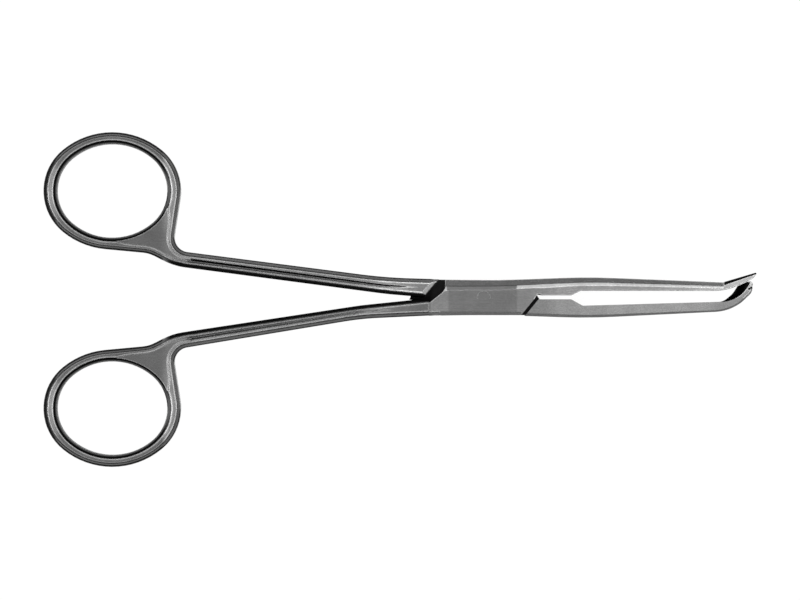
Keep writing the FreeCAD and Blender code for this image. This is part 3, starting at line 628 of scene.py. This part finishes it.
# %% Steel of the pin
pin_steel, pin_shader = metal("pin_steel", ARM_TONE * LOCK_TONE * PANEL_TONE)
streaky_finish(pin_steel, pin_shader, belt_streaks(pin_steel)[1])
print(pin_steel.name, len(pin_steel.node_tree.nodes), "nodes")

# %% Give each piece its finish
skins["box_arm"].data.materials.append(arm_steel)
skins["tongue_arm"].data.materials.append(arm_steel)
skins["pivot_pin"].data.materials.append(pin_steel)

# %% [markdown]
# ## White table
#
# Product photographs of instruments are taken on a white sheet. The sheet is a plain white plane that the
# instrument rests on, so it takes the soft shadow under the shanks and rings.

# %% The table
TABLE_SIZE = 1.6

sheet = bmesh.new()
bmesh.ops.create_grid(sheet, x_segments=1, y_segments=1, size=TABLE_SIZE / 2)
table_mesh = bpy.data.meshes.new("table")
sheet.to_mesh(table_mesh)
sheet.free()
table = bpy.data.objects.new("table", table_mesh)
bpy.context.scene.collection.objects.link(table)

# %% [markdown]
# ## White without more light
#
# Lamps strong enough to make paper pure white would also wash out the steel. So the sheet glows white by
# itself wherever the camera or a reflection looks at it, and only a small share of its colour comes from
# the lamps. That share keeps the faint shadow of the instrument.

# %% Finish of the sheet
GLOW_SHARE = 0.9
GLOW_STRENGTH = 1.08
PAPER_TONE = 0.9

white = bpy.data.materials.new("white_sheet")
white.use_nodes = True
paper = white.node_tree.nodes["Principled BSDF"]
paper.inputs["Base Color"].default_value = (PAPER_TONE, PAPER_TONE, PAPER_TONE, 1.0)
paper.inputs["Roughness"].default_value = 0.9
glow = add_node(white, "ShaderNodeEmission", (0, -300))
glow.inputs["Strength"].default_value = GLOW_STRENGTH
rays = add_node(white, "ShaderNodeLightPath", (-700, 300))
seen = calculate(white, "MAXIMUM", rays.outputs["Is Camera Ray"], rays.outputs["Is Glossy Ray"])
seen = calculate(white, "MAXIMUM", seen, rays.outputs["Is Transmission Ray"])
share = calculate(white, "MULTIPLY", seen, GLOW_SHARE)
blend = add_node(white, "ShaderNodeMixShader", (300, 0))
connect(white, share, blend.inputs["Fac"])
connect(white, paper.outputs["BSDF"], blend.inputs[1])
connect(white, glow.outputs["Emission"], blend.inputs[2])
connect(white, blend.outputs["Shader"], white.node_tree.nodes["Material Output"].inputs["Surface"])
table.data.materials.append(white)

# %% [markdown]
# ## Studio light
#
# Bare metal shows what is around it, so the room is the larger part of its look. It is a soft grey straight
# above, with a bright band round that, and dark from there down to the walls. Surfaces that tilt a little
# see the band, which draws the bright lines along the ridges. The bevels tilt more and see the dark walls.
# Two long soft boxes, to the left and right of the table, add a little light of their own.

# %% The room, by height from the horizon at 0 to straight above at 1
ROOM_TONES = {
    0.0: 0.12,
    0.12: 0.2,
    0.36: 0.2,
    0.46: 0.08,
    0.7: 0.08,
    0.79: 0.6,
    0.86: 2.3,
    0.9: 2.3,
    0.95: 0.38,
    1.0: 0.3,
}

world = bpy.data.worlds.new("studio")
bpy.context.scene.world = world
world.use_nodes = True
room = world.node_tree
back = room.nodes["Background"]
direction = room.nodes.new("ShaderNodeTexCoord")
split = room.nodes.new("ShaderNodeSeparateXYZ")
tones = room.nodes.new("ShaderNodeValToRGB")
stops = tones.color_ramp.elements
for height, tone in ROOM_TONES.items():
    if height == 0.0:
        stop = stops[0]
    elif height == 1.0:
        stop = stops[-1]
    else:
        stop = stops.new(height)
    stop.position = height
    stop.color = (tone, tone, tone, 1.0)
room.links.new(direction.outputs["Generated"], split.inputs["Vector"])
room.links.new(split.outputs["Z"], tones.inputs["Fac"])
room.links.new(tones.outputs["Color"], back.inputs["Color"])
back.inputs["Strength"].default_value = 1.0

# %% Soft boxes
BOX_DISTANCE = 0.65
BOX_HEIGHT = 0.9
BOX_WIDTH = 0.12
BOX_LENGTH = 0.3
BOX_POWER = 0.35


def soft_box(name, place):
    lamp = bpy.data.lights.new(name, "AREA")
    lamp.shape = "RECTANGLE"
    lamp.size = BOX_WIDTH
    lamp.size_y = BOX_LENGTH
    lamp.energy = BOX_POWER
    holder = bpy.data.objects.new(name, lamp)
    holder.location = place
    holder.rotation_euler = (-Vector(place)).to_track_quat("-Z", "Y").to_euler()
    bpy.context.scene.collection.objects.link(holder)
    print(name, "at", place, BOX_POWER, "W")


soft_box("left_box", (-BOX_DISTANCE, 0.0, BOX_HEIGHT))
soft_box("right_box", (BOX_DISTANCE, 0.0, BOX_HEIGHT))

# %% [markdown]
# ## Camera
#
# The photograph looks straight down from a distance, with the instrument lying level across the frame. A
# long lens a metre above keeps the rings and tips free of perspective. The scale and the place of the pin in
# the frame are given in picture units, each a quarter of a millimetre wide.

# %% The camera
PIXEL = 0.000245
PICTURE_WIDTH = 800
PICTURE_HEIGHT = 600
PIN_IN_PICTURE = (483.5, 298.0)
CAMERA_HEIGHT = 1.0
SENSOR_WIDTH = 36.0

camera_data = bpy.data.cameras.new("camera")
camera_data.sensor_width = SENSOR_WIDTH
camera_data.lens = SENSOR_WIDTH * CAMERA_HEIGHT / (PICTURE_WIDTH * PIXEL)
camera_data.clip_end = 10.0
camera = bpy.data.objects.new("camera", camera_data)
middle_x = (PICTURE_WIDTH / 2 - PIN_IN_PICTURE[0]) * PIXEL
middle_y = (PIN_IN_PICTURE[1] - PICTURE_HEIGHT / 2) * PIXEL
camera.location = (middle_x, middle_y, CAMERA_HEIGHT + BOX_MIDDLE)
bpy.context.scene.collection.objects.link(camera)
bpy.context.scene.camera = camera
bpy.context.scene.view_settings.view_transform = "Standard"
print("camera above", middle_x, middle_y)
